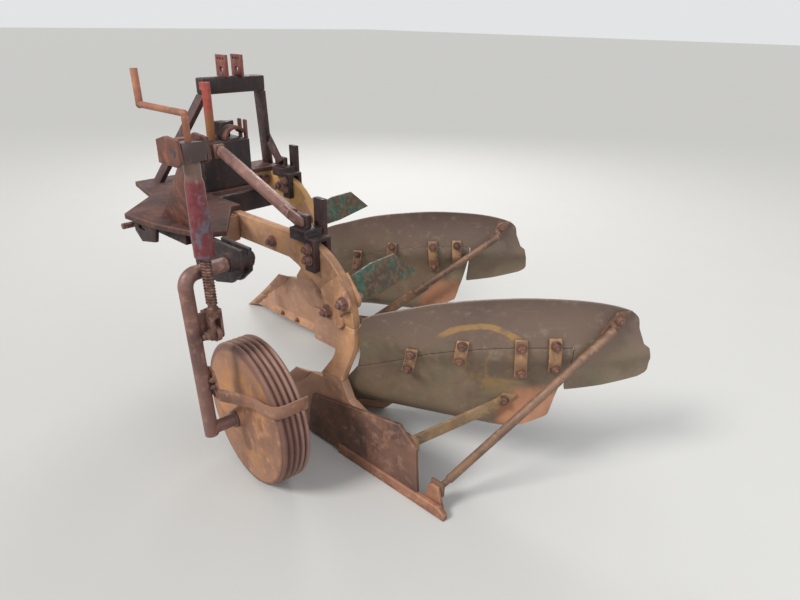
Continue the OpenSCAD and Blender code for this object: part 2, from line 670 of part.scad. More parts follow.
// Wheel: closed domed face, ribbed tread, open back round the hub
rim_t = 9;
rib_h = 8;
rib_n = 5;
hub_r = 30;
rib_w = wheel_w / rib_n;
wheel_r = wheel_d / 2;
drum_r = wheel_r - rib_h;
face_t = 8;
module wheel() {
    // profile: first number is the radius, second the place along the axle from the back edge
    tread = [for (k = [0:rib_n - 1]) for (q = [[0.14, 1], [0.62, 1], [0.76, 0], [0.98, 0]])
        [drum_r + rib_h * q[1], rib_w * (k + q[0])]];
    boss = wheel_near - hub_near + wheel_w;
    color(ochre) on_axle() translate([0, -wheel_near - wheel_w, 0]) rotate([-90, 0, 0])
        rotate_extrude($fn = 72) polygon(concat(
            [[axle_d / 2 + run_fit, 8], [hub_r, 8], [hub_r, wheel_w - face_t + 4],
             [150, wheel_w - face_t], [drum_r - rim_t - 10, wheel_w - face_t - 6],
             [drum_r - rim_t, wheel_w - 24], [drum_r - rim_t, 0], [drum_r, 0]],
            tread,
            [[drum_r - 12, wheel_w + 2], [150, wheel_w + 4], [hub_r + 12, wheel_w + 7],
             [hub_r, wheel_w + 10], [hub_r - 3, boss], [axle_d / 2 + run_fit, boss]]));
}

place() cross_tube();
place() link_pins();
place() base_plate();
place() base_ribs();
place() mast_legs();
place() mast_top_bar();
place() top_link_plates();
place() mast_column();
place() mast_strut();
place() mast_brace();
place() sector();
place() sector_cap();
place() sector_links();
place() diagonal_stay();
place() beams();
place() beam_collar();
place() beam_clamps();
place() legs();
place() leg_cheeks();
place() frogs();
place() shares();
place() shins();
place() lower_boards();
place() upper_boards();
place() board_straps();
place() landside_rear();
place() landside_front();
place() landside_rail();
place() heel_lug();
place() stay_tubes();
place() flat_brace();
place() skimmer_stems();
place() skimmer_blades();
place() screw_bracket();
place() arm_bracket();
place() screw_tube();
place() crank();
place() screw_rod();
place() wheel_arm();
place() scraper();
place() wheel();
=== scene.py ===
import json
import math

import bmesh
import bpy
from mathutils import Matrix, Vector


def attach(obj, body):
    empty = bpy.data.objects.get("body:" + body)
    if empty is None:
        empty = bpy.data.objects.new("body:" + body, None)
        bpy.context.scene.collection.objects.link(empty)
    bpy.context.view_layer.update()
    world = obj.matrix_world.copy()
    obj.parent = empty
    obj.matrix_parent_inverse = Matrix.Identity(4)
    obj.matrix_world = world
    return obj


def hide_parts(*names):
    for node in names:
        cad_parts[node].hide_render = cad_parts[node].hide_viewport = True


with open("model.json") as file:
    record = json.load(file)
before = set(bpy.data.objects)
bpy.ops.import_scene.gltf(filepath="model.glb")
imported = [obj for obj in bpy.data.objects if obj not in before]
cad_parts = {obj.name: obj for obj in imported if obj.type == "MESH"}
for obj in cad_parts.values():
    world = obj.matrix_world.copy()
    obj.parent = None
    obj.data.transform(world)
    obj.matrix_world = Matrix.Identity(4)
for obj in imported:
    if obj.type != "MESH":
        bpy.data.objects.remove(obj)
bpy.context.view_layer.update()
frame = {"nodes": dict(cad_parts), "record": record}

scene = bpy.context.scene
nodes = frame["nodes"]
print("frame loaded, nodes:", len(nodes))


# the drawing is in mm and its zero point is the rear body's heel; the frame is in m and its zero point
# is the middle of the footprint
shift = Vector((-0.63722, 0.30432, 0.0))
bodies = [(0.0, 0.0), (670.0, -440.0)]  # forward and sideways place of each furrow body, mm


def at(x, y, z):
    return Vector((x / 1000, y / 1000, z / 1000)) + shift


def addObject(name, data):
    made = bpy.data.objects.new(name, data)
    scene.collection.objects.link(made)
    return made


def newMesh(name, places, faces=()):
    mesh = bpy.data.meshes.new(name)
    mesh.from_pydata(places, [], faces)
    return mesh


# camera and lamps

view = {
    "place": at(-734.2, 1031.2, 1267.4),
    "down": 25.05,  # angles in degrees
    "turn": 48.28,
    "roll": 1.27,
    "lens": 27.0,
    "sensor": 36.0,
    "farthest": 200.0,
}


def makeCamera(v):
    down, turn, roll = (math.radians(v[k]) for k in ("down", "turn", "roll"))
    level = Vector((math.cos(turn), -math.sin(turn), 0))
    right = Vector((-math.sin(turn), -math.cos(turn), 0))
    ahead = math.cos(down) * level - math.sin(down) * Vector((0, 0, 1))
    up = math.sin(down) * level + math.cos(down) * Vector((0, 0, 1))
    side = math.cos(roll) * right + math.sin(roll) * up
    top = math.cos(roll) * up - math.sin(roll) * right
    data = bpy.data.cameras.new("camera")
    data.lens = v["lens"]
    data.sensor_width = v["sensor"]
    data.clip_end = v["farthest"]
    turned = Matrix((side, top, -ahead)).transposed().to_4x4()
    scene.camera = addObject("camera", data)
    scene.camera.matrix_world = Matrix.Translation(v["place"]) @ turned


sunLamp = {"from": (0.22, 0.88, 0.82), "away": 6.0, "strength": 2.7, "spread": 18.0,
           "colour": (1.0, 0.975, 0.94)}
lamps = [
    # name, place, aims at, size, power, colour
    ("fill", (-3.2, 0.6, 2.6), (-0.1, 0.0, 0.4), 2.6, 46.0, (0.95, 0.97, 1.0)),
    ("rim", (2.6, -2.8, 3.0), (0.1, 0.0, 0.5), 2.2, 90.0, (1.0, 0.98, 0.96)),
]


def addLamp(name, kind, direction, place, settings):
    data = bpy.data.lights.new(name, kind)
    for key, value in settings.items():
        setattr(data, key, value)
    lamp = addObject(name, data)
    lamp.location = place
    lamp.rotation_mode = "QUATERNION"
    lamp.rotation_quaternion = direction.to_track_quat("-Z", "Y")


def makeLamps():
    sun = Vector(sunLamp["from"]).normalized()
    addLamp("sun", "SUN", -sun, sun * sunLamp["away"],
            {"energy": sunLamp["strength"], "color": sunLamp["colour"],
             "angle": math.radians(sunLamp["spread"])})
    for name, place, aim, size, power, colour in lamps:
        addLamp(name, "AREA", Vector(aim) - Vector(place), place,
                {"shape": "DISK", "size": size, "energy": power, "color": colour})


# shader expressions

class Val:
    # one output of a node; the operators add Math nodes
    def __init__(self, shade, out):
        self.shade = shade
        self.out = out

    def maths(self, operation, *others):
        return self.shade.node("ShaderNodeMath", {"operation": operation},
                               {i: v for i, v in enumerate((self,) + others)})

    def __add__(self, other):
        return self.maths("ADD", other)

    __radd__ = __add__

    def __sub__(self, other):
        return self.maths("SUBTRACT", other)

    def __rsub__(self, other):
        return self.shade.node("ShaderNodeMath", {"operation": "SUBTRACT"}, {0: other, 1: self})

    def __mul__(self, other):
        return self.maths("MULTIPLY", other)

    __rmul__ = __mul__

    def band(self, low, high):
        # smooth step from 0 below low to 1 above high
        return self.shade.node("ShaderNodeMapRange", {"interpolation_type": "SMOOTHSTEP"},
                               {"Value": self, "From Min": low, "From Max": high})


class Shade:
    # the nodes of a material or of the world
    def __init__(self, owner):
        self.owner = owner
        self.owner.use_nodes = True
        self.tree = owner.node_tree
        self.tree.nodes.clear()

    def node(self, kind, settings=None, values=None, out=0):
        made = self.tree.nodes.new(kind)
        for key, value in (settings or {}).items():
            setattr(made, key, value)
        for key, value in (values or {}).items():
            self.feed(made.inputs[key], value)
        return Val(self, made.outputs[out])

    def feed(self, socket, value):
        if isinstance(value, Val):
            self.tree.links.new(value.out, socket)
        elif socket.type == "RGBA":
            socket.default_value = (*value, 1.0)
        else:
            socket.default_value = value

    def mix(self, share, a, b):
        # sockets 6 and 7 and output 2 are the ones for colours
        return self.node("ShaderNodeMix", {"data_type": "RGBA"}, {"Factor": share, 6: a, 7: b}, out=2)

    def place(self, scale=(1, 1, 1), move=(0, 0, 0), turn=(0, 0, 0)):
        spot = self.node("ShaderNodeTexCoord", out=3)  # Object coordinates
        return self.node("ShaderNodeMapping", {}, {"Vector": spot, "Scale": scale, "Location": move,
                                                  "Rotation": turn})

    def noise(self, where, scale, detail=4.0, rough=0.55, warp=0.0):
        return self.node("ShaderNodeTexNoise", {}, {"Vector": where, "Scale": scale, "Detail": detail,
                                                    "Roughness": rough, "Distortion": warp})

    def spots(self, where, scale):
        return self.node("ShaderNodeTexVoronoi", {"feature": "F1"}, {"Vector": where, "Scale": scale})

    def vector(self, operation, a, b=None, out=0):
        values = {0: a} if b is None else {0: a, 1: b}
        return self.node("ShaderNodeVectorMath", {"operation": operation}, values, out=out)

    def distance(self, where, spot):
        return self.vector("DISTANCE", where, spot, out=1)

    def along(self, where, axis):
        # one coordinate: 0 forward, 1 sideways, 2 up
        return self.node("ShaderNodeSeparateXYZ", {}, {"Vector": where}, out=axis)

    def edge(self):
        # 1 on rounded edges, 0 elsewhere
        return self.node("ShaderNodeAttribute", {"attribute_name": "edge"}, out=2)

    def finish(self, colour, rough, metal, height=None, bump=0.3, depth=0.002):
        values = {"Base Color": colour, "Roughness": rough, "Metallic": metal}
        if height is not None:
            values["Normal"] = self.node("ShaderNodeBump", {}, {"Strength": bump, "Distance": depth,
                                                               "Height": height})
        return self.show("ShaderNodeOutputMaterial", self.node("ShaderNodeBsdfPrincipled", {}, values))

    def show(self, kind, shader):
        output = self.tree.nodes.new(kind)
        self.feed(output.inputs["Surface"], shader)
        return self.owner


def srgb(r, g, b):
    # a colour as it is picked from a picture, 0 to 255, made linear
    return tuple((c / 255 / 12.92) if c / 255 <= 0.04045 else ((c / 255 + 0.055) / 1.055) ** 2.4
                 for c in (r, g, b))


def metres(sizes):
    return [size / 1000 for size in sizes]


def ragged(amount, noise, reach):
    # a distance or height that noise pushes to and fro, so that a stain has no straight border
    return amount + (noise - 0.5) * reach


def between(limits, amount):
    # the first limit where the amount is 0, the second where it is 1
    low, high = limits
    return amount * (high - low) + low


# rusted steel

def rust(main, dark, bright, stain, share, scale, rough, **more):
    return {"main": srgb(*main), "dark": srgb(*dark), "bright": srgb(*bright), "stain": srgb(*stain),
            "stainShare": share, "scale": scale, "rough": rough, **more}


rusts = {
    # main, dark, bright and stain colour, the stain's share, scale of the pattern, roughness from and to
    # dark_frame: darker than the steel's own colour, painted shade for the headstock that stands in shade
    "dark_frame": rust((42, 28, 29), (24, 17, 19), (80, 52, 45), (110, 68, 48),
                       0.2, 1.0, (0.44, 0.78)),
    # red_rust: partly its own dark red rust, partly painted shade of the headstock
    "red_rust": rust((81, 52, 47), (54, 37, 36), (114, 79, 66), (116, 74, 54),
                     0.35, 1.0, (0.6, 0.92)),
    "rail_rust": rust((148, 104, 82), (110, 77, 62), (172, 127, 102), (166, 112, 80),
                      0.3, 1.3, (0.7, 0.95)),
    "mast_rust": rust((80, 56, 54), (52, 38, 40), (120, 86, 78), (106, 68, 52),
                      0.3, 1.1, (0.4, 0.72)),
    "purple_rust": rust((125, 91, 82), (95, 68, 65), (160, 123, 108), (134, 90, 68),
                        0.3, 1.1, (0.36, 0.66)),
    "tube_rust": rust((120, 92, 73), (88, 67, 57), (150, 118, 94), (140, 98, 66),
                      0.35, 1.1, (0.46, 0.74)),
    "ochre_rust": rust((176, 133, 101), (132, 98, 78), (196, 154, 117), (190, 144, 80),
                       0.5, 0.9, (0.6, 0.92),
                       # the front beam is the yellower one; it lies below this sideways place, m
                       far={"limit": (0.07, 0.08), "share": 0.8, "tone": srgb(184, 142, 86),
                            "shine": srgb(200, 160, 104)}),
    "leg_rust": rust((184, 139, 106), (144, 107, 82), (204, 160, 126), (190, 140, 84),
                     0.4, 0.9, (0.6, 0.9)),
    "brace_rust": rust((144, 118, 88), (106, 86, 66), (168, 140, 108), (156, 112, 68),
                       0.4, 1.1, (0.6, 0.9)),
    "crank_rust": rust((156, 102, 78), (122, 78, 62), (188, 134, 104), (160, 98, 64),
                       0.35, 1.6, (0.5, 0.78)),
    "bracket_rust": rust((100, 64, 54), (58, 41, 39), (146, 92, 72), (158, 82, 58),
                         0.35, 1.1, (0.55, 0.85)),
    "strip_rust": rust((196, 152, 122), (160, 120, 96), (212, 170, 138), (190, 132, 98),
                       0.35, 1.2, (0.55, 0.82)),
    "share_steel": rust((174, 136, 112), (140, 105, 86), (194, 156, 130), (178, 128, 94),
                        0.35, 0.8, (0.55, 0.82)),
    "strap_rust": rust((150, 114, 86), (104, 79, 64), (174, 138, 104), (170, 126, 76),
                       0.4, 1.4, (0.6, 0.9)),
    # dark_rust: partly its own dark rust, partly painted shade of the landside
    "dark_rust": rust((112, 80, 66), (76, 56, 49), (144, 108, 88), (130, 88, 62),
                      0.3, 0.9, (0.55, 0.85)),
    "scraper_rust": rust((138, 100, 82), (102, 74, 62), (166, 128, 104), (150, 98, 68),
                         0.35, 1.0, (0.5, 0.8)),
    "wheel_rust": rust((152, 110, 84), (122, 86, 68), (176, 136, 108), (186, 128, 66),
                       0.3, 0.8, (0.44, 0.8),
                       # the worn face round the hub is the most orange; distances from the hub in mm
                       ring={"centre": (561.0, 360.0, 220.0), "starts": (60.0, 110.0),
                             "ends": (160.0, 190.0), "share": 0.6},
                       # the tread is darker and browner, partly its own purple-brown, partly painted
                       # shade; its ribs are polished;
                       # distances from the axle in mm; the centre is the middle of the tread
                       tread={"centre": (544.4, 216.0, 220.0), "rim": (196.0, 207.0),
                              "ribs": (216.0, 221.0), "share": 0.85, "tone": srgb(102, 72, 64),
                              "shine": srgb(158, 128, 118)}),
}

rustGrain = {
    # noise: scale, detail, roughness, distortion; each finish scales broad and middle
    "broad": (7.0, 5.0, 0.6, 0.4), "middle": (38.0, 7.0, 0.62), "fine": (260.0, 4.0, 0.6),
    "drips": (1.0, 4.0, 0.55, 0.3), "dripStretch": (26, 26, 5),  # they run down
    "pits": 320.0, "pitEdge": (0.12, 0.3),
    # where in its noise a tone comes in, and its share
    "main": (0.34, 0.62), "bright": (0.5, 0.72, 0.75), "stain": (0.5, 0.68), "film": (0.56, 0.75, 0.35),
    "worn": (0.3, 0.6, 0.45), "ringMiddle": (0.36, 0.6), "ringBroad": (0.38, 0.6), "farTone": (0.4, 0.7),
    "roughness": (0.3, 0.7), "edgeShine": 0.12, "metal": 0.12,
    # relief: shares of middle, fine and pits, then strength and depth in m
    "relief": (0.55, 0.3, 0.15), "bump": (0.35, 0.0022),
}


def wheelRing(m, colour, where, broad, middle, s, g):
    ring = s["ring"]
    gap = m.distance(where, at(*ring["centre"]))
    inside = gap.band(*metres(ring["starts"])) * (1 - gap.band(*metres(ring["ends"])))
    worn = inside * middle.band(*g["ringMiddle"]) * broad.band(*g["ringBroad"])
    return m.mix(worn * ring["share"], colour, s["stain"])


def wheelTread(m, colour, where, middle, fine, s):
    tread = s["tread"]
    across = m.vector("MULTIPLY", m.vector("SUBTRACT", where, at(*tread["centre"])), (1, 0, 1))
    gap = m.vector("LENGTH", across, out=1)
    # the darker tread tone is partly the tread's own purple-brown, partly painted shade
    colour = m.mix(gap.band(*metres(tread["rim"])) * tread["share"], colour, tread["tone"])
    return m.mix(gap.band(*metres(tread["ribs"])) * (fine * 0.5 + middle * 0.5), colour, tread["shine"])


def farBeam(m, colour, where, middle, s, g):
    far = s["far"]
    beyond = 1 - m.along(where, 1).band(*far["limit"])
    tone = m.mix(middle.band(*g["farTone"]), far["tone"], far["shine"])
    return m.mix(beyond * far["share"], colour, tone)


def layer(m, noise, step, colour, tone, within=None):
    # a tone where the noise is high; step is start, end and share
    start, end, share = step
    amount = noise.band(start, end) * share
    if within is not None:
        amount = amount * within
    return m.mix(amount, colour, tone)


def makeRust(name, s, g):
    m = Shade(bpy.data.materials.new(name))
    where = m.place()
    broad = m.noise(where, g["broad"][0] * s["scale"], *g["broad"][1:])
    middle = m.noise(where, g["middle"][0] * s["scale"], *g["middle"][1:])
    fine = m.noise(where, *g["fine"])
    drips = m.noise(m.place(g["dripStretch"]), *g["drips"])
    pits = m.spots(where, g["pits"]).band(*g["pitEdge"])
    edge = m.edge()
    colour = m.mix(broad.band(*g["main"]), s["dark"], s["main"])
    colour = layer(m, middle, g["bright"], colour, s["bright"])
    colour = layer(m, drips, (*g["stain"], s["stainShare"]), colour, s["stain"])
    if "ring" in s:
        colour = wheelRing(m, colour, where, broad, middle, s, g)
    if "tread" in s:
        colour = wheelTread(m, colour, where, middle, fine, s)
    if "far" in s:
        colour = farBeam(m, colour, where, middle, s, g)
    colour = layer(m, fine, g["film"], colour, s["dark"])
    colour = layer(m, middle, g["worn"], colour, s["bright"], edge)
    rough = between(s["rough"], middle.band(*g["roughness"])) - edge * g["edgeShine"]
    a, b, c = g["relief"]
    return m.finish(colour, rough, g["metal"], middle * a + fine * b + pits * c, *g["bump"])


# old paint

paints = {
    "faded_red": {"paint": srgb(120, 58, 51), "faded": srgb(138, 84, 75), "under": srgb(98, 66, 57),
                  "bare": srgb(78, 66, 64), "left": 0.54, "rough": (0.5, 0.8)},
    # worn by hands: red low down, bare steel at the neck, dark at the block; heights in mm
    "tube_red": {"paint": srgb(102, 35, 39), "faded": srgb(116, 57, 61), "under": srgb(84, 57, 61),
                 "bare": srgb(92, 84, 96), "left": 0.52, "rough": (0.3, 0.6),
                 "neck": (900.0, 922.0, srgb(108, 88, 74)), "block": (948.0, 960.0, srgb(58, 42, 41))},
    # gone to rust at its foot
    "strut_red": {"paint": srgb(146, 48, 40), "faded": srgb(160, 80, 64), "under": srgb(134, 78, 56),
                  "bare": srgb(120, 78, 58), "left": 0.56, "rough": (0.45, 0.75),
                  "foot": (930.0, 990.0, srgb(140, 96, 58))},
    "green_paint": {"paint": srgb(50, 78, 66), "faded": srgb(80, 120, 102), "under": srgb(86, 72, 60),
                    "bare": srgb(116, 92, 70), "left": 0.47, "rough": (0.5, 0.8)},
}

paintGrain = {
    # noise: scale, detail, roughness, distortion
    "broad": (13.0, 6.0, 0.62, 0.5), "middle": (60.0, 7.0, 0.6), "fine": (300.0, 3.0),
    "scratches": (1.0, 4.0), "scratchStretch": (140, 140, 9), "scratchTurn": (0.1, 0.2, 0),
    "streaks": (1.0, 5.0, 0.6, 0.4), "streakStretch": (52, 52, 7),
    # the paint is gone where this mix of broad, streaks, middle and edge is high
    "wear": (0.4, 0.3, 0.3, 0.1), "wearEdge": (-0.02, 0.05),
    "faded": (0.35, 0.7), "bare": (0.45, 0.6), "scratch": (0.62, 0.72, 0.5), "film": (0.55, 0.8, 0.3),
    "border": 0.04,  # how far the borders at given heights wander, m
    "given": (0.7, 0.3),  # cover of the tone beyond such a border, and what the noise adds to it
    "metal": 0.05, "relief": (0.5, 0.25, 0.2), "bump": (0.35, 0.0014),
}


def makePaint(name, s, g):
    m = Shade(bpy.data.materials.new(name))
    where = m.place()
    broad, middle, fine = (m.noise(where, *g[k]) for k in ("broad", "middle", "fine"))
    scratches = m.noise(m.place(g["scratchStretch"], turn=g["scratchTurn"]), *g["scratches"])
    streaks = m.noise(m.place(g["streakStretch"]), *g["streaks"])
    a, b, c, d = g["wear"]
    start, end = g["wearEdge"]
    wear = broad * a + streaks * b + middle * c + m.edge() * d
    worn = wear.band(s["left"] + start, s["left"] + end)
    paint = m.mix(middle.band(*g["faded"]), s["paint"], s["faded"])
    under = m.mix(middle.band(*g["bare"]), s["under"], s["bare"])
    colour = m.mix(worn, paint, under)
    height = m.along(where, 2)
    for key in ("neck", "block", "foot"):
        if key in s:
            low, high, tone = s[key]
            share = ragged(height, broad, g["border"]).band(*metres((low, high)))
            if key == "foot":
                share = 1 - share
            least, added = g["given"]
            colour = m.mix(share * (least + middle * added), colour, tone)
    colour = layer(m, scratches, g["scratch"], colour, s["bare"])
    colour = layer(m, fine, g["film"], colour, s["under"])
    a, b, c = g["relief"]
    return m.finish(colour, between(s["rough"], worn), g["metal"],
                    (1 - worn) * a + middle * b + fine * c, *g["bump"])


# the plates that the earth has polished

boardLook = {
    "main": srgb(130, 110, 90), "dark": srgb(106, 88, 75), "purple": srgb(94, 76, 70),
    "green": srgb(116, 109, 87), "pale": srgb(150, 133, 114), "ochre": srgb(158, 122, 72),
    "clay": srgb(172, 118, 88), "rough": (0.46, 0.71),
    # noise: scale, detail, roughness, distortion
    "broad": (4.5, 5.0, 0.62, 0.6), "cloud": (9.0, 6.0, 0.65, 0.8), "cloudMove": (3, 5, 1),
    "middle": (34.0, 7.0, 0.66), "fine": (240.0, 4.0),
    # earth has polished the plates along the travel, so scratches run level
    "scores": (1.0, 4.0, 0.5, 0.35), "scoreStretch": (9, 9, 190),
    # where in its noise a tone comes in, and its share
    "mainStep": (0.34, 0.64), "greenStep": (0.44, 0.62, 0.6), "scoreStep": (0.6, 0.78, 0.16),
    "paleStep": (0.54, 0.74, 0.45), "darkStep": (0.26, 0.42, 0.4), "filmStep": (0.6, 0.78, 0.35),
    # green low down and purple high up: height in m, share, and how much the noise moves the border
    "greenTop": (0.46, 0.58), "greenWander": 0.1, "purpleFrom": (0.46, 0.62, 0.7), "purpleWander": 0.16,
    # an arch of ochre stain on the rear body, mm
    "arch": {"centre": (56.0, -188.0, 352.0), "radius": 172.0, "band": (5.5, 11.0),
             "above": (478.0, 498.0), "wander": 0.03, "breaks": (0.3, 0.5, 0.75)},
    # ochre patches round the two rear straps
    "patch": {"centre": (20.0, -200.0, 405.0), "radius": (52.0, 130.0), "wander": 0.1,
              "breaks": (0.46, 0.58, 0.6)},
    # clay coloured rear foot of each lower plate
    "foot": {"centre": (-78.0, -292.0, 222.0), "radius": (89.2857, 125.0), "wander": 0.05,
             "breaks": (0.3, 0.55, 0.5), "least": 0.35},
    "edgeShare": 0.35, "roughness": (0.3, 0.7), "metal": 0.2,
    "relief": (0.45, 0.1, 0.4), "bump": (0.25, 0.0016),
}


def boardArch(m, colour, where, height, middle, cloud, s):
    arch = s["arch"]
    gap = ragged(m.distance(where, at(*arch["centre"])), cloud, arch["wander"])
    off = (gap - arch["radius"] / 1000).maths("ABSOLUTE")
    share = (1 - off.band(*metres(arch["band"]))) * height.band(*metres(arch["above"]))
    return layer(m, middle, arch["breaks"], colour, s["ochre"], share)


def boardPatch(m, colour, where, broad, cloud, s):
    patch = s["patch"]
    gap = ragged(m.distance(where, at(*patch["centre"])), broad, patch["wander"])
    return layer(m, cloud, patch["breaks"], colour, s["ochre"], 1 - gap.band(*metres(patch["radius"])))


def boardFeet(m, colour, where, broad, cloud, s):
    foot = s["foot"]
    x, y, z = foot["centre"]
    start, end, share = foot["breaks"]
    for forward, sideways in bodies:
        gap = m.distance(where, at(x + forward, y + sideways, z))
        inside = 1 - ragged(gap, broad, foot["wander"]).band(*metres(foot["radius"]))
        colour = m.mix(inside * (cloud.band(start, end) * share + foot["least"]), colour, s["clay"])
    return colour


def makeBoardSteel(name, s):
    m = Shade(bpy.data.materials.new(name))
    where = m.place()
    broad = m.noise(where, *s["broad"])
    cloud = m.noise(m.place(move=s["cloudMove"]), *s["cloud"])
    middle = m.noise(where, *s["middle"])
    fine = m.noise(where, *s["fine"])
    scores = m.noise(m.place(s["scoreStretch"]), *s["scores"])
    height = m.along(where, 2)
    colour = m.mix(broad.band(*s["mainStep"]), s["dark"], s["main"])
    low = 1 - (height + broad * s["greenWander"]).band(*s["greenTop"])
    colour = layer(m, cloud, s["greenStep"], colour, s["green"], low)
    colour = layer(m, height + broad * s["purpleWander"], s["purpleFrom"], colour, s["purple"])
    colour = layer(m, scores, s["scoreStep"], colour, s["pale"])
    colour = layer(m, middle, s["paleStep"], colour, s["pale"])
    start, end, share = s["darkStep"]
    colour = m.mix((1 - middle.band(start, end)) * share, colour, s["dark"])
    colour = boardArch(m, colour, where, height, middle, cloud, s)
    colour = boardPatch(m, colour, where, broad, cloud, s)
    colour = boardFeet(m, colour, where, broad, cloud, s)
    colour = layer(m, fine, s["filmStep"], colour, s["dark"])
    colour = m.mix(m.edge() * s["edgeShare"], colour, s["pale"])
    rough = between(s["rough"], middle.band(*s["roughness"]))
    a, b, c = s["relief"]
    return m.finish(colour, rough, s["metal"], middle * a + scores * b + fine * c, *s["bump"])


wornLook = {
    "main": srgb(92, 68, 60), "bright": srgb(142, 108, 94), "film": srgb(70, 50, 44),
    "middle": (70.0, 6.0, 0.6), "fine": (350.0, 3.0), "brightStep": (0.4, 0.65),
    "filmStep": (0.5, 0.7, 0.5),
    "rough": (0.3, 0.6), "metal": 0.55, "relief": (0.5, 0.5), "bump": (0.3, 0.0012),
}


def makeWornSteel(name, s):
    m = Shade(bpy.data.materials.new(name))
    where = m.place()
    middle, fine = (m.noise(where, *s[k]) for k in ("middle", "fine"))
    colour = m.mix(middle.band(*s["brightStep"]), s["main"], s["bright"])
    colour = layer(m, fine, s["filmStep"], colour, s["film"])
    a, b = s["relief"]
    return m.finish(colour, between(s["rough"], middle), s["metal"], middle * a + fine * b, *s["bump"])


# sky and floor

studio = {
    "sky": (0.96, 0.97, 0.98),
    "onObject": 0.6,  # strength of the light from all round
    "seen": 0.8,  # the same where the camera or a reflection sees it
    "floor": ((0.48, 0.48, 0.47), (0.51, 0.51, 0.5)),
    "floorGrain": 3.0,
    "floorRough": 0.9,
    "floorSide": 60.0,  # half its width, m
}


def makeWorld(s):
    m = Shade(bpy.data.worlds.new("studio"))
    seen = m.node("ShaderNodeLightPath", out="Is Camera Ray")
    for ray in ("Is Glossy Ray", "Is Transmission Ray"):
        seen = seen.maths("MAXIMUM", m.node("ShaderNodeLightPath", out=ray))
    strength = m.node("ShaderNodeMapRange", {}, {"Value": seen, "To Min": s["onObject"],
                                                 "To Max": s["seen"]})
    sky = m.node("ShaderNodeBackground", {}, {"Color": s["sky"], "Strength": strength})
    scene.world = m.show("ShaderNodeOutputWorld", sky)
    scene.view_settings.view_transform = "Standard"


def makeFloor(s):
    m = Shade(bpy.data.materials.new("floor_pale"))
    grain = m.noise(m.place(), s["floorGrain"], 3.0)
    pale = m.finish(m.mix(grain * 0.5, *s["floor"]), s["floorRough"], 0.0)
    side = s["floorSide"]
    corners = [(-side, -side, 0), (side, -side, 0), (side, side, 0), (-side, side, 0)]
    mesh = newMesh("floor", corners, [(0, 1, 2, 3)])
    mesh.materials.append(pale)
    floor = addObject("floor", mesh)


looks = {name: makeRust(name, s, rustGrain) for name, s in rusts.items()}
looks.update({name: makePaint(name, s, paintGrain) for name, s in paints.items()})
looks["board_steel"] = makeBoardSteel("board_steel", boardLook)
looks["worn_steel"] = makeWornSteel("worn_steel", wornLook)
print("materials made:", len(looks))

makeCamera(view)
makeLamps()
makeWorld(studio)
makeFloor(studio)
print("camera, lamps and floor made")


# pieces

ownLooks = {
    # nodes whose finish differs from the one that their slot names
    "frogs": "share_steel", "landside_front": "share_steel", "shins": "share_steel",
    "legs": "leg_rust", "leg_cheeks": "leg_rust", "mast_legs": "mast_rust", "mast_brace": "mast_rust",
    "landside_rail": "rail_rust", "heel_lug": "rail_rust", "screw_bracket": "bracket_rust",
    "sector": "bracket_rust", "crank": "crank_rust", "screw_tube": "tube_red", "mast_strut": "strut_red",
    "stay_tubes": "tube_rust", "flat_brace": "brace_rust", "board_straps": "strap_rust",
    "scraper": "scraper_rust",
}
slots = {row["node"]: row["material_slot"] for row in frame["record"]["subparts"]}
bodyOf = {n: b for b, members in frame["record"]["behaviour"]["bodies"].items() for n in members}


def closedObject(name, bm):
    # a closed shell, its faces turned outwards
    bmesh.ops.recalc_face_normals(bm, faces=bm.faces)
    mesh = bpy.data.meshes.new(name)
    bm.to_mesh(mesh)
    bm.free()
    return addObject(name, mesh)


def joinFaces(obj, distance=2e-5, flat=0.6):
    # a CAD solid's loose triangles become joined flat faces
    bm = bmesh.new()
    bm.from_mesh(obj.data)
    bmesh.ops.remove_doubles(bm, verts=bm.verts, dist=distance)
    bmesh.ops.dissolve_limit(bm, angle_limit=math.radians(flat), verts=bm.verts, edges=bm.edges)
    bm.to_mesh(obj.data)
    bm.free()
    return obj


def applied(obj):
    # the modifiers' result as a plain mesh
    graph = bpy.context.evaluated_depsgraph_get()
    mesh = bpy.data.meshes.new_from_object(obj.evaluated_get(graph))
    old = obj.data
    obj.modifiers.clear()
    obj.data = mesh
    mesh.name = obj.name
    if old.users == 0:
        bpy.data.meshes.remove(old)
    return obj


def roundEdges(obj, width, angle=32.0, segments=2):
    # bevelled edges; their faces are marked for the materials, which wear there
    for _ in range(2 - len(obj.data.materials)):
        obj.data.materials.append(bpy.data.materials.new("mark"))
    bevel = obj.modifiers.new("bevel", "BEVEL")
    bevel.width = width
    bevel.segments = segments
    bevel.limit_method = "ANGLE"
    bevel.angle_limit = math.radians(angle)
    bevel.material = 1
    bevel.use_clamp_overlap = True
    bevel.miter_outer = "MITER_ARC"
    applied(obj)
    mesh = obj.data
    marks = mesh.attributes.new("edge", "FLOAT", "FACE")
    marks.data.foreach_set("value", [1.0 if p.material_index == 1 else 0.0 for p in mesh.polygons])
    for p in mesh.polygons:
        p.material_index = 0
    mesh.materials.clear()
    return obj


def dress(obj, slot, body, *replaced, sharp=35.0):
    mesh = obj.data
    mesh.materials.clear()
    mesh.materials.append(looks[ownLooks.get(replaced[0], slot) if replaced else slot])
    mesh.shade_smooth()
    mesh.set_sharp_from_angle(angle=math.radians(sharp))
    if replaced:
        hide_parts(*replaced)
    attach(obj, body)
    return obj


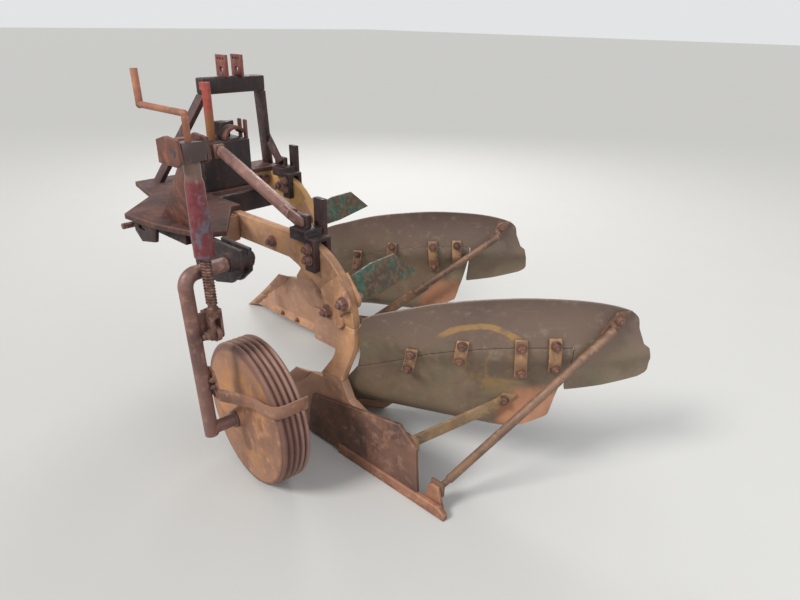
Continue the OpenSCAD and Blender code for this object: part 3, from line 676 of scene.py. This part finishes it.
softened = {
    # node: width of its rounded edges, m
    "cross_tube": 0.006, "link_pins": 0.002, "base_plate": 0.003, "base_ribs": 0.002, "mast_legs": 0.004,
    "mast_top_bar": 0.005, "top_link_plates": 0.002, "mast_column": 0.003, "mast_strut": 0.003,
    "mast_brace": 0.003, "sector": 0.003, "sector_cap": 0.004, "sector_links": 0.003,
    "diagonal_stay": 0.003, "beams": 0.003, "beam_collar": 0.004, "beam_clamps": 0.003, "legs": 0.003,
    "leg_cheeks": 0.002, "landside_rear": 0.002, "landside_front": 0.002, "landside_rail": 0.003,
    "heel_lug": 0.003, "stay_tubes": 0.002, "flat_brace": 0.002, "skimmer_stems": 0.003,
    "skimmer_blades": 0.0015, "screw_bracket": 0.003, "arm_bracket": 0.003, "screw_tube": 0.002,
    "crank": 0.002, "wheel_arm": 0.002, "scraper": 0.0015,
}

for node, width in softened.items():
    piece = joinFaces(addObject(node + "_piece", nodes[node].data.copy()))
    roundEdges(piece, width)
    dress(piece, slots[node], bodyOf[node], node)
print("pieces with rounded edges:", len(softened))

# the moldboard's surface, as the plates' solids have it; its places are heights and runs, which are
# distances behind the shin along the surface, all in mm
shareH = 92.0  # height of the seam over the share
shareT = 14.0
boardT = 8.0
seamGap = 0.8
seamOpen = 0.9  # the seam shows wider where its edges are rusted away
seat = 0.3  # the straps' gap to the plates
shinTop = 236.0
surface = {
    "tip": 895.0, "lean": 1.222, "bend": 0.00045,  # the shin line, over height
    # angle to the travel in degrees: low down, how much less half way up, and the heights between
    "angle": 33.0, "less": 18.0, "narrows": (60, 220), "widens": (420, 620),
    # curl in degrees per mm of run: low down, gained and lost again, and the heights between
    "curl": 0.008, "gained": 0.036, "curls": (120, 420), "lost": 0.022, "uncurls": (450, 620),
}
shareBlade = {"long": 485.0, "slant": 34.0, "edge": 4.0}  # length, less at its top, thickness of its edge
shinLong = (82.0, 58.0)  # at its foot and its top
seamEnd, lowerRear = 665.0, 789.0  # runs where the lower plate's seam and the plate end
wingStart, wingTop, wingRear = 667.0, 815.0, 968.0  # runs along the upper plate
boardTables = {
    "seam": [(120, 300), (170, 322), (240, 372), (300, 420), (380, 450), (500, 468), (665, 470)],
    "lowerEnd": [(665, 470), (676, 455), (700, 416), (735, 352), (762, 300), (789, 256)],
    "lowerFoot": [(0, shareH + seamGap), (452, shareH + seamGap), (560, 128), (640, 170), (690, 181),
                  (740, 203), (770, 228), (789, 250)],
    "topEdge": [(55, 505), (70, 521), (112, 542), (222, 582), (393, 606), (517, 606), (635, 594),
                (740, 570), (785, 548), (815, 515)],
    "wingEnd": [(815, 515), (867, 471), (895, 458), (932, 421), (955, 394), (968, 377)],
    "wingFoot": [(667, 471), (765, 325), (860, 338), (955, 358), (968, 368)],
    "lowerLead": [(0, 84), (0.45, 68), (0.62, 178), (1, 165)],
    "upperLead": [(0, 166), (0.25, 139), (0.5, 105), (0.75, 70), (1, 55)],
}


def blendTo(a, b, k):
    return a + (b - a) * k


def stepUp(a, b, x):
    k = min(1.0, max(0.0, (x - a) / (b - a)))
    return k * k * (3 - 2 * k)


def spanAt(name, x):
    # the table, the row before x, and the part of the way from there to the next row
    table = boardTables[name]
    x = min(max(x, table[0][0]), table[-1][0])
    i = max(i for i in range(len(table) - 1) if x >= table[i][0])
    return table, i, (x - table[i][0]) / (table[i + 1][0] - table[i][0])


def lineAt(name, x):
    table, i, k = spanAt(name, x)
    return blendTo(table[i][1], table[i + 1][1], k)


def curveAt(name, x):
    # a smooth curve through the table's rows
    table, i, k = spanAt(name, x)

    def slope(j):
        a, b = max(0, j - 1), min(len(table) - 1, j + 1)
        return (table[b][1] - table[a][1]) / (table[b][0] - table[a][0])

    width = table[i + 1][0] - table[i][0]
    return ((2 * k ** 3 - 3 * k * k + 1) * table[i][1] + (k ** 3 - 2 * k * k + k) * slope(i) * width
            + (3 * k * k - 2 * k ** 3) * table[i + 1][1] + (k ** 3 - k * k) * slope(i + 1) * width)


def shinX(z):
    return surface["tip"] - surface["lean"] * z + surface["bend"] * z * z


def runAngle(z):
    less = stepUp(*surface["narrows"], z) - stepUp(*surface["widens"], z)
    return math.radians(surface["angle"] - surface["less"] * less)


def runCurl(z):
    gained = surface["gained"] * stepUp(*surface["curls"], z)
    return math.radians(surface["curl"] + gained - surface["lost"] * stepUp(*surface["uncurls"], z))


def surfaceAt(z, run, off):
    a, r = runAngle(z), runCurl(z)
    c = a + r * run
    return (shinX(z) - (math.sin(c) - math.sin(a)) / r - off * math.sin(c),
            -(math.cos(a) - math.cos(c)) / r + off * math.cos(c), z)


def backNormal(z, run):
    c = runAngle(z) + runCurl(z) * run
    return Vector((-math.sin(c), math.cos(c), 0))


def taper(z, run, thick):
    # a plate's thickness where it thins out towards the shin
    return min(thick, 1 + run * math.tan(runAngle(z)))


def sharePoint(u, v):
    z = shareH * v
    run = blendTo(1, shareBlade["long"] - shareBlade["slant"] * v, u)
    return z, run, min(taper(z, run, shareT), shareBlade["edge"] + z / 2)


def shinPoint(u, v):
    z = blendTo(shareH + seamGap, shinTop, v)
    end = blendTo(*shinLong, (z - shareH) / (shinTop - shareH))
    run = blendTo(1, end, u)
    return z, run, taper(z, run, boardT)


def lowerPoint(u, v):
    run = blendTo(lineAt("lowerLead", v), lowerRear, u)
    high = curveAt("seam", run) if run < seamEnd else lineAt("lowerEnd", run)
    return blendTo(lineAt("lowerFoot", run), high - seamOpen, v), run, boardT


def upperPoint(u, v):
    run = blendTo(lineAt("upperLead", v), wingRear, u)
    low = curveAt("seam", run) + seamGap + seamOpen if run < wingStart else lineAt("wingFoot", run)
    high = curveAt("topEdge", run) if run < wingTop else lineAt("wingEnd", run)
    return blendTo(low, high, v), run, boardT


def addPlate(bm, cells, off, point, forward, sideways):
    # a closed plate: front and back grid, and the faces round their edges
    nu, nv = cells
    corners = []
    for side in (0, 1):
        for i in range(nu + 1):
            for j in range(nv + 1):
                z, run, thick = point(i / nu, j / nv)
                x, y, z = surfaceAt(z, run, off + thick * side)
                corners.append(bm.verts.new(at(x + forward, y + sideways, z)))
    n = (nu + 1) * (nv + 1)
    m = nv + 1

    def face(*picked):
        bm.faces.new([corners[c] for c in picked])

    for i in range(nu):
        for j in range(nv):
            face(i * m + j, i * m + j + 1, (i + 1) * m + j + 1, (i + 1) * m + j)
            face(n + i * m + j, n + (i + 1) * m + j, n + (i + 1) * m + j + 1, n + i * m + j + 1)
        face(i * m, (i + 1) * m, n + (i + 1) * m, n + i * m)
        face(i * m + nv, n + i * m + nv, n + (i + 1) * m + nv, (i + 1) * m + nv)
    for j in range(nv):
        face(j, n + j, n + j + 1, j + 1)
        face(nu * m + j, nu * m + j + 1, n + nu * m + j + 1, n + nu * m + j)


straps = {
    # run and height of the top, run and height of the foot, lift off the plates
    "rows": [(252, 438, 304, 346, 0.3), (357, 482, 405, 408, 0.3), (500, 496, 604, 368, 1.0),
             (588, 500, 676, 392, 1.1)],
    "width": 34.0, "thick": 10.0, "boltIn": 0.17, "boltSize": 0.021, "cells": (4, 12),
}


def strapMiddle(row, k):
    # height and run on a strap's middle line, from its foot to its top
    return blendTo(row[3], row[1], k), blendTo(row[2], row[0], k)


def strapPoint(row):
    def point(u, v):
        z, run = strapMiddle(row, v)
        return z, run + straps["width"] * (u - 0.5), straps["thick"]
    return point


strapSheets = [(straps["cells"], boardT + seat + row[4], strapPoint(row)) for row in straps["rows"]]
plates = [
    # piece, node, slot, width of its rounded edges in m, and its plates as cells, offset and shape
    ("shares_piece", "shares", "share_steel", 0.0012, [((60, 8), 0, sharePoint)]),
    ("shins_piece", "shins", "board_steel", 0.0012, [((8, 16), 0, shinPoint)]),
    ("lower_boards_piece", "lower_boards", "board_steel", 0.0016, [((90, 20), 0, lowerPoint)]),
    ("upper_boards_piece", "upper_boards", "board_steel", 0.0016, [((100, 24), 0, upperPoint)]),
    ("straps_piece", "board_straps", "board_steel", 0.0025, strapSheets),
]
plateAngle = 50.0  # edges sharper than this are rounded, and stay sharp in the shading

for name, node, slot, width, sheets in plates:
    bm = bmesh.new()
    for cells, off, point in sheets:
        for forward, sideways in bodies:
            addPlate(bm, cells, off, point, forward, sideways)
    piece = closedObject(name, bm)
    roundEdges(piece, width, plateAngle)
    dress(piece, slot, "root", node, sharp=plateAngle)

print("plates made")

# the castings behind the plates; their front faces lie on the plates' backs

frog = {
    "left": 12.0, "right": 40.0, "gap": 1.5, "round": 0.0012,
    "nose": (178, 202, 24.0),  # between these heights it grows forward into the corner behind the shin
    "heights": [20, 40, 60, 80, 90, 96, 110, 130, 150, 170, 190, 205, 220],
    "crown": (6.0, 236),  # how far its top lies behind the last of these, and its height
    "rear": [(514, 243), (520, 262), (426, 262), (396, 205), (300, 168), (205, 150), (190, 24)],
    # a flat strip along the foot of the front one
    "strip": {"rear": 404, "tip": 742, "shoulder": 690, "low": 21, "high": 62, "thick": 3.0, "sunk": 1.0},
}


def behindPlates(z, deep, s):
    thick = shareT if z < shareH + seamGap else boardT
    low, high, grown = s["nose"]
    angle = runAngle(z)
    return (shinX(z) - deep / math.tan(angle) - thick / math.sin(angle) - s["gap"]
            + grown * stepUp(low, high, z))


def addPrism(bm, leftRows, rightRows, leftY, rightY, forward, sideways):
    left = [bm.verts.new(at(x + forward, leftY + sideways, z)) for x, z in leftRows]
    right = [bm.verts.new(at(x + forward, rightY + sideways, z)) for x, z in rightRows]
    bm.faces.new(left)
    bm.faces.new(right[::-1])
    for i in range(len(left)):
        j = (i + 1) % len(left)
        bm.faces.new((left[j], left[i], right[i], right[j]))


def finishFrog(bm, name, width):
    piece = closedObject(name, bm)
    roundEdges(piece, width)
    return dress(piece, slots["frogs"], "root", "frogs")


def makeFrogs(s):
    back, top = s["crown"]
    last = s["heights"][-1]
    outlines = []
    for deep in (s["left"], s["right"]):
        front = [(behindPlates(z, deep, s), z) for z in s["heights"]]
        outlines.append(front + [(behindPlates(last, deep, s) - back, top)] + s["rear"])
    bm = bmesh.new()
    for forward, sideways in bodies:
        addPrism(bm, *outlines, -s["left"], -s["right"], forward, sideways)
    finishFrog(bm, "frogs_piece", s["round"])


def makeFrogStrip(s):
    strip = s["strip"]
    low, high = strip["low"], strip["high"]
    outline = [(strip["rear"], low), (strip["tip"], low), (strip["shoulder"], high), (strip["rear"], high)]
    bm = bmesh.new()
    addPrism(bm, outline, outline, strip["thick"] - s["left"], -s["left"] - strip["sunk"], *bodies[1])
    piece = finishFrog(bm, "frog_strip", s["round"])
    piece.data.materials[0] = looks["strip_rust"]


makeFrogs(frog)
makeFrogStrip(frog)
print("frogs made")

# the wheel, turned from its profile

wheelLook = {
    "radius": 220.0, "width": 88.0, "near": 100.0, "hubNear": 76.0, "hub": 30.0, "bore": 15.05,
    "toe": -6.6, "steps": 160,
    "rib": 8.0, "ribs": 5, "ribPoints": 8,
    "ribPart": (0.02, 0.86), "ribRound": 0.6,  # the part of its pitch that a rib takes, and how full it is
    "hubBack": 8.0,
    "edge": [(203.0, 0.0), (211.0, 0.0), (212.0, 1.0)],  # the drum's back edge: radius, place along it
    # the hollow back, from hub to rim: radius, and how far it lies behind the face
    "back": [(30.0, 4.0), (150.0, 8.0), (193.0, 14.0), (203.0, 24.0)],
    # the face, from rim to hub: radius, and how far it stands out
    "face": [(211.5, 0.0), (207.0, 1.4), (198.0, 2.4), (182.0, 2.6), (150.0, 4.0), (110.0, 5.4),
             (70.0, 6.6), (42.0, 7.4), (33.0, 9.0), (30.0, 12.0)],
    "bossEdge": (28.0, 26.0, 2.0),  # radii of its rounded edge, and depth
}
axle = (561.0, 360.0, 220.0)
toe = math.radians(wheelLook["toe"])


def onWheel(x, y, z):
    # a place seen from the axle, turned by the wheel's toe
    return at(axle[0] + x * math.cos(toe) - y * math.sin(toe),
              axle[1] + x * math.sin(toe) + y * math.cos(toe), axle[2] + z)


def wheelProfile(w):
    # radius and place along the axle, all the way round the section
    drum = w["radius"] - w["rib"]
    wide = w["width"]
    pitch = wide / w["ribs"]
    boss = w["near"] - w["hubNear"] + wide
    rows = [(w["bore"], w["hubBack"]), (w["hub"], w["hubBack"])]
    rows += [(radius, wide - deep) for radius, deep in w["back"]]
    rows += w["edge"]
    start, end = w["ribPart"]
    for k in range(w["ribs"]):
        for across in range(1, w["ribPoints"] + 1):
            q = across / (w["ribPoints"] + 1)
            part = min(1.0, max(0.0, (q - start) / (end - start)))
            rows.append((drum + w["rib"] * math.sin(math.pi * part) ** w["ribRound"], pitch * (k + q)))
    rows += [(radius, wide + out) for radius, out in w["face"]]
    outer, inner, edge = w["bossEdge"]
    return rows + [(outer, boss - edge), (inner, boss), (w["bore"], boss)]


def makeWheel(w):
    rows = wheelProfile(w)
    bm = bmesh.new()
    rings = []
    for k in range(w["steps"]):
        a = 2 * math.pi * k / w["steps"]
        rings.append([bm.verts.new(onWheel(radius * math.cos(a), along - w["near"] - w["width"],
                                           radius * math.sin(a))) for radius, along in rows])
    for k, ring in enumerate(rings):
        other = rings[(k + 1) % len(rings)]
        for i in range(len(rows)):
            j = (i + 1) % len(rows)
            bm.faces.new((ring[i], ring[j], other[j], other[i]))
    dress(closedObject("wheel_piece", bm), "wheel_rust", "wheel", "wheel", sharp=42.0)


makeWheel(wheelLook)
print("wheel made")


# geometry nodes: one small class for a tree

class Tree:
    def __init__(self, name, **inputs):
        # inputs: kind of each by its label
        self.group = bpy.data.node_groups.new(name, "GeometryNodeTree")
        for label, kind in {"Geometry": "Geometry", "Material": "Material", **inputs}.items():
            self.group.interface.new_socket(label, in_out="INPUT", socket_type="NodeSocket" + kind)
        self.group.interface.new_socket("Geometry", in_out="OUTPUT", socket_type="NodeSocketGeometry")
        self.start = self.group.nodes.new("NodeGroupInput")
        self.end = self.group.nodes.new("NodeGroupOutput")

    def given(self, label):
        return self.start.outputs[label]

    def node(self, kind, settings=None, values=None, out=0):
        made = self.group.nodes.new(kind)
        for key, value in (settings or {}).items():
            setattr(made, key, value)
        for key, value in (values or {}).items():
            if isinstance(value, bpy.types.NodeSocket):
                self.group.links.new(value, made.inputs[key])
            elif isinstance(value, list):
                for item in value:
                    self.group.links.new(item, made.inputs[key])
            else:
                made.inputs[key].default_value = value
        return made.outputs[out]

    def raised(self, kind, sizes, height):
        made = self.node(kind, {}, sizes)
        return self.node("GeometryNodeTransform", {}, {"Geometry": made, "Translation": (0, 0, height)})

    def close(self, geometry):
        # instances made real, with the tree's own material
        real = self.node("GeometryNodeRealizeInstances", {}, {"Geometry": geometry})
        dressed = self.node("GeometryNodeSetMaterial", {}, {"Geometry": real,
                                                            "Material": self.given("Material")})
        self.group.links.new(dressed, self.end.inputs["Geometry"])
        return self.group


bolt = {
    # what it is made of, its sizes and its height; everything is in widths across the flats
    "parts": [
        ("GeometryNodeMeshCylinder", {"Vertices": 6, "Radius": 0.56, "Depth": 0.5}, 0.35),  # nut
        ("GeometryNodeMeshCone", {"Vertices": 6, "Radius Bottom": 0.56, "Radius Top": 0.47,
                                  "Depth": 0.07}, 0.6),  # and its bevelled top
        ("GeometryNodeMeshCylinder", {"Vertices": 20, "Radius": 0.72, "Depth": 0.14}, 0.05),  # washer
        ("GeometryNodeMeshCylinder", {"Vertices": 14, "Radius": 0.3, "Depth": 0.5}, 0.68),  # end of thread
        ("GeometryNodeMeshCone", {"Vertices": 14, "Radius Bottom": 0.3, "Radius Top": 0.22,
                                  "Depth": 0.05}, 0.93),  # and its bevelled tip
    ],
    "turn": 1.05,  # each is turned at random by up to this angle, a sixth of a circle
}


def boltTree(s):
    # a nut with washer and the end of its thread on every point, along the point's axis and to its size
    t = Tree("bolts", Seed="Int")
    parts = [t.raised(*part) for part in s["parts"]]
    whole = t.node("GeometryNodeJoinGeometry", {}, {"Geometry": parts})
    axis = t.node("GeometryNodeInputNamedAttribute", {"data_type": "FLOAT_VECTOR"}, {"Name": "axis"})
    size = t.node("GeometryNodeInputNamedAttribute", {"data_type": "FLOAT"}, {"Name": "size"})
    turn = t.node("FunctionNodeAlignRotationToVector", {"axis": "Z"}, {"Vector": axis})
    spin = t.node("FunctionNodeRandomValue", {"data_type": "FLOAT"}, {"Seed": t.given("Seed")}, out=1)
    spin = t.node("ShaderNodeMath", {"operation": "MULTIPLY"}, {0: spin, 1: s["turn"]})
    own = t.node("FunctionNodeAxisAngleToRotation", {}, {"Axis": (0, 0, 1), "Angle": spin})
    turn = t.node("FunctionNodeRotateRotation", {"rotation_space": "LOCAL"},
                  {"Rotation": turn, "Rotate By": own})
    return t.close(t.node("GeometryNodeInstanceOnPoints", {},
                          {"Points": t.given("Geometry"), "Instance": whole, "Rotation": turn,
                           "Scale": size}))


def threadTree(s):
    # a ridge wound round the screw's core
    t = Tree("thread", Turns="Float", Length="Float", Radius="Float")
    spiral = t.node("GeometryNodeCurveSpiral", {},
                    {"Resolution": s["turnPoints"], "Rotations": t.given("Turns"),
                     "Start Radius": t.given("Radius"), "End Radius": t.given("Radius"),
                     "Height": t.given("Length")})
    spiral = t.node("GeometryNodeSetCurveNormal", {"mode": "Z_UP"}, {"Curve": spiral})
    profile = t.node("GeometryNodeCurvePrimitiveCircle", {"mode": "RADIUS"},
                     {"Resolution": s["ridgePoints"], "Radius": s["ridge"]})
    return t.close(t.node("GeometryNodeCurveToMesh", {},
                          {"Curve": spiral, "Profile Curve": profile, "Fill Caps": True}))


def runTree(obj, group, **values):
    made = obj.modifiers.new("nodes", "NODES")
    made.node_group = group
    for item in group.interface.items_tree:
        if item.item_type == "SOCKET" and item.in_out == "INPUT" and item.name in values:
            made[item.identifier] = values[item.name]
    return applied(obj)


bolts = boltTree(bolt)


def boltObject(name, slot, body, rows):
    # rows: place and outward direction in the frame, and size across the flats
    mesh = newMesh(name, [row[0] for row in rows])
    axis = mesh.attributes.new("axis", "FLOAT_VECTOR", "POINT")
    axis.data.foreach_set("vector", [c for row in rows for c in row[1]])
    size = mesh.attributes.new("size", "FLOAT", "POINT")
    size.data.foreach_set("value", [row[2] for row in rows])
    obj = addObject(name, mesh)
    runTree(obj, bolts, Material=looks[slot], Seed=len(rows))
    return dress(obj, slot, body, sharp=30.0)


left, right = Vector((0, 1, 0)), Vector((0, -1, 0))
plateBolts = {
    # height, run and distance off the front of the plates in mm, size in m
    "both": [(546, 727, boardT + seat + 8, 0.022), (62, 150, shareT, 0.018), (62, 300, shareT, 0.018)],
    "rearOnly": [(288, 632, boardT + seat + 10, 0.022)],
}
frameBolts = {
    # forward and sideways from the body's place and height in mm, the side that they show on, size in m
    "both": [(470, -3, 492, left, 0.028), (470, -49, 492, right, 0.028), (402, -3, 538, left, 0.028),
             (402, -49, 538, right, 0.028), (588, -56, 650, right, 0.026), (727, -12, 640, left, 0.026),
             (528, 12, 640, left, 0.024), (528, 12, 672, left, 0.024)],
    "frontOnly": [(677, -12, 650, left, 0.028), (598, -12, 636, left, 0.028), (526, -9, 41, left, 0.015),
                  (630, -9, 41, left, 0.015)],
}
clampBolts = [(-17, -21, 139, 0.014), (-13, -21, 159, 0.014)]  # from the axle, mm; size in m


def onPlates(row, place):
    # a bolt square to the plates' back
    z, run, off, size = row
    x, y, z = surfaceAt(z, run, off)
    return at(x + place[0], y + place[1], z), backNormal(z, run), size


def onFrame(row, place):
    x, y, z, side, size = row
    return at(x + place[0], y + place[1], z), side, size


def strapBolts(s):
    off = boardT + seat + s["thick"]
    return [(*strapMiddle(row, k), off + row[4], s["boltSize"])
            for row in s["rows"] for k in (s["boltIn"], 1 - s["boltIn"])]


plateRows = [onPlates(row, place) for place in bodies for row in strapBolts(straps) + plateBolts["both"]]
plateRows += [onPlates(row, bodies[0]) for row in plateBolts["rearOnly"]]
frameRows = [onFrame(row, place) for place in bodies for row in frameBolts["both"]]
frameRows += [onFrame(row, bodies[1]) for row in frameBolts["frontOnly"]]
axleSide = Vector((-math.sin(toe), math.cos(toe), 0))
clampRows = [(onWheel(x, y, z), axleSide, size) for x, y, z, size in clampBolts]
boltObject("plate_bolts", "dark_rust", "root", plateRows)
boltObject("frame_bolts", "purple_rust", "root", frameRows)
boltObject("clamp_bolts", "dark_rust", "wheel_arm", clampRows)
print("bolts made:", len(plateRows) + len(frameRows) + len(clampRows))

# the lifting screw: core, fork and thread

screw = {
    "eye": (548.0, 316.0, 512.0), "trunnion": (566.0, 316.0, 982.0),
    # the rest is in m, heights from the eye up
    "barFrom": 0.1, "barFoot": 0.0704, "barShare": 0.8,
    "core": [(0.0144, 0.068), (0.0144, 0.0735), (0.0113, 0.076), (0.0113, 0.357)],  # radius, height
    "coreSteps": 40,
    "turns": 34.0, "turnPoints": 28, "ridgePoints": 6, "ridge": 0.0025, "middle": 0.0124,
    "threadFoot": 0.082, "threadLength": 0.268,
    "round": 0.0012, "forkBolt": (0.0155, 0.022),  # how far out it stands, and its size
}


def screwMatrix(s):
    top, foot = at(*s["trunnion"]), at(*s["eye"])
    along = (top - foot).normalized()
    side = Vector((0, 1, 0))
    ahead = side.cross(along)
    return Matrix.Translation(foot) @ Matrix((ahead, side, along)).transposed().to_4x4()


def latheObject(name, rows, matrix, steps):
    # rows: radius and place along the axis, m
    bm = bmesh.new()
    turns = [2 * math.pi * k / steps for k in range(steps)]
    rings = [[bm.verts.new(matrix @ Vector((r * math.cos(a), r * math.sin(a), z))) for a in turns]
             for r, z in rows]
    for low, high in zip(rings, rings[1:]):
        for k in range(steps):
            j = (k + 1) % steps
            bm.faces.new((low[k], low[j], high[j], high[k]))
    bm.faces.new(rings[0][::-1])
    bm.faces.new(rings[-1])
    return closedObject(name, bm)


def makeScrew(s):
    # the fork is the solid's, its bar is pushed down into it; core and thread stand in for the bar
    matrix = screwMatrix(s)
    back = matrix.inverted()
    fork = addObject("screw_fork", nodes["screw_rod"].data.copy())
    for vertex in fork.data.vertices:
        p = back @ vertex.co
        if p.z > s["barFrom"]:
            vertex.co = matrix @ Vector((p.x * s["barShare"], p.y * s["barShare"], s["barFoot"]))
    joinFaces(fork)
    roundEdges(fork, s["round"])
    dress(fork, "worn_steel", "screw_rod", "screw_rod")
    core = latheObject("screw_core", s["core"], matrix, s["coreSteps"])
    dress(core, "worn_steel", "screw_rod", "screw_rod")
    thread = addObject("screw_thread", newMesh("screw_thread", [(0, 0, 0)]))
    runTree(thread, threadTree(s), Material=looks["worn_steel"], Turns=s["turns"],
            Length=s["threadLength"], Radius=s["middle"])
    thread.data.transform(matrix @ Matrix.Translation((0, 0, s["threadFoot"])))
    dress(thread, "worn_steel", "screw_rod", "screw_rod", sharp=60.0)
    out, size = s["forkBolt"]
    boltObject("fork_bolt", "dark_rust", "screw_rod", [(matrix @ Vector((0, out, 0)), left, size)])


makeScrew(screw)
print("screw made")
